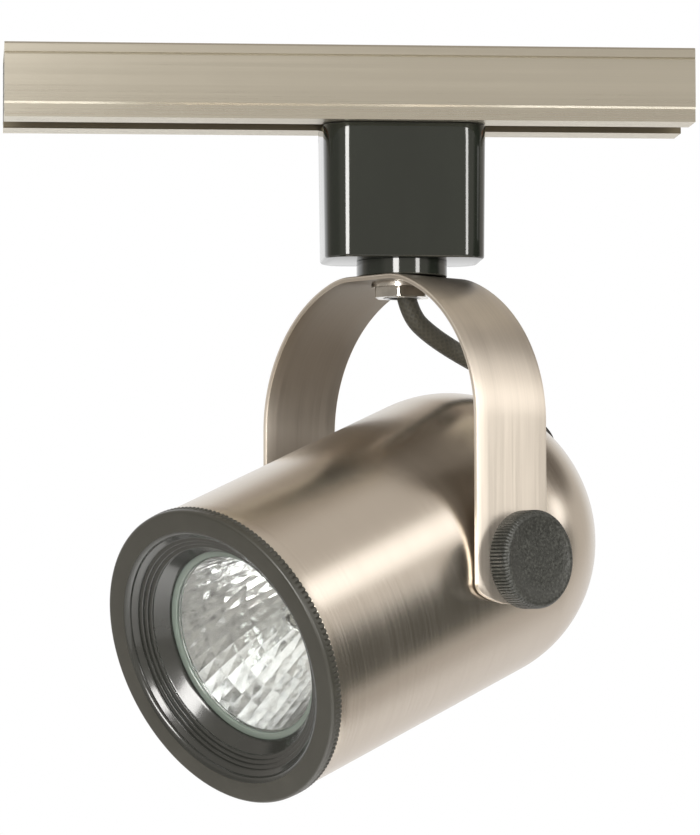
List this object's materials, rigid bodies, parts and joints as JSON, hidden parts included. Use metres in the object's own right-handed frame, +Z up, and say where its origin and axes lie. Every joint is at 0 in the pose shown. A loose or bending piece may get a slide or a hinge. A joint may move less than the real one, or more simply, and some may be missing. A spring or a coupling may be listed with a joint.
{
  "type": "track spotlight",
  "caption": "Adjustable track spotlight: round-backed barrel with a reflector lamp, held by a swivelling yoke on a sliding track adapter.",
  "frame": {"origin": "centre of the track's ceiling face", "axes": "+X along the track, +Z up into the ceiling, +Y away from the side the lamp faces"},
  "size_m": [0.176, 0.1184, 0.1915],
  "materials": {
    "nickel_track": "satin brushed nickel finish on extruded aluminium",
    "nickel_strap": "satin brushed nickel plating",
    "nickel_barrel": "satin nickel plating brushed round the barrel",
    "nickel_bright": "bright nickel-plated steel",
    "zinc_steel": "zinc-plated steel",
    "brass": "bare spring brass",
    "copper": "bare copper strip",
    "black_gloss": "glossy moulded thermoplastic",
    "black_satin": "fine textured moulded thermoplastic",
    "charcoal_ring": "satin charcoal enamel on a turned ring",
    "grey_vinyl": "extruded rigid vinyl",
    "fibre": "natural nylon",
    "sleeving": "braided glass-fibre sleeving",
    "rubber": "moulded rubber",
    "ceramic": "unglazed steatite",
    "reflector": "faceted aluminised glass",
    "clear_glass": "clear pressed glass",
    "lead_black": "insulated wire",
    "lead_white": "insulated wire",
    "lead_green": "insulated wire"
  },
  "bodies": {
    "track": {"track_channel": "nickel_track", "track_insulator_front": "grey_vinyl", "track_insulator_rear": "grey_vinyl", "line_conductor": "copper", "neutral_conductor": "copper", "ground_conductor": "copper"},
    "adapter": {"adapter_housing": "black_gloss", "adapter_cover": "black_satin", "line_contact": "brass", "neutral_contact": "brass", "ground_contact": "brass", "line_lead": "lead_black", "neutral_lead": "lead_white", "ground_lead": "lead_green", "locking_bars": "zinc_steel", "cover_screws": "zinc_steel", "lock_spring": "zinc_steel", "swivel_collar": "black_gloss", "threaded_stem": "zinc_steel", "stem_inner_nut": "zinc_steel", "stem_locknut": "nickel_bright"},
    "lock_tab": {"lock_tab": "black_satin"},
    "yoke": {"yoke_strap": "nickel_strap", "yoke_washer": "nickel_bright", "lamp_cable": "sleeving"},
    "head": {"barrel_shell": "nickel_barrel", "cable_grommet": "rubber", "pivot_inserts": "zinc_steel", "friction_washers": "fibre", "lampholder": "ceramic", "lampholder_contacts": "brass", "lampholder_bracket": "zinc_steel", "lampholder_screws": "zinc_steel", "ground_screw": "brass", "socket_lead_line": "lead_black", "socket_lead_neutral": "lead_white"},
    "knob_right": {"knob_right": "black_satin", "knob_stud_right": "zinc_steel"},
    "knob_left": {"knob_left": "black_satin", "knob_stud_left": "zinc_steel"},
    "trim_ring": {"trim_ring": "charcoal_ring"},
    "lamp": {"lamp_reflector": "reflector", "lamp_glass": "clear_glass", "lamp_burner": "clear_glass", "lamp_base": "ceramic", "lamp_pins": "nickel_bright"}
  },
  "joints": [
    {"name": "track_slide", "type": "slide", "parent": "track", "child": "adapter", "axis": [1, 0, 0], "range_m": [-0.081, 0.0525]},
    {"name": "lock_tab_press", "type": "slide", "parent": "adapter", "child": "lock_tab", "axis": [0, 0, -1], "range_m": [0, 0.003], "stiffness_N_per_m": 600, "springref_m": -0.002, "deforming": ["lock_spring"]},
    {"name": "pan", "type": "hinge", "parent": "adapter", "child": "yoke", "pos_m": [0.0142, 0, -0.0585], "axis": [0, 0, 1], "range_deg": [-277, 45]},
    {"name": "tilt", "type": "hinge", "parent": "yoke", "child": "head", "pos_m": [0.0142, 0, -0.1313], "axis": [0.6184, -0.7859, 0], "range_deg": [-60, 68], "deforming": ["lamp_cable"]},
    {"name": "knob_right_turn", "type": "hinge", "parent": "head", "child": "knob_right", "pos_m": [0.0142, 0, -0.1313], "axis": [0.6184, -0.7859, 0], "range_deg": [0, 360]},
    {"name": "knob_left_turn", "type": "hinge", "parent": "head", "child": "knob_left", "pos_m": [0.0142, 0, -0.1313], "axis": [-0.6184, 0.7859, 0], "range_deg": [0, 360]},
    {"name": "trim_ring_turn", "type": "hinge", "parent": "head", "child": "trim_ring", "pos_m": [-0.03342, -0.03748, -0.15481], "axis": [0.7327, 0.5766, 0.3616], "range_deg": [0, 720]},
    {"name": "lamp_twist", "type": "hinge", "parent": "head", "child": "lamp", "pos_m": [0.00504, -0.00721, -0.13582], "axis": [0.7327, 0.5766, 0.3616], "range_deg": [0, 24]}
  ]
}
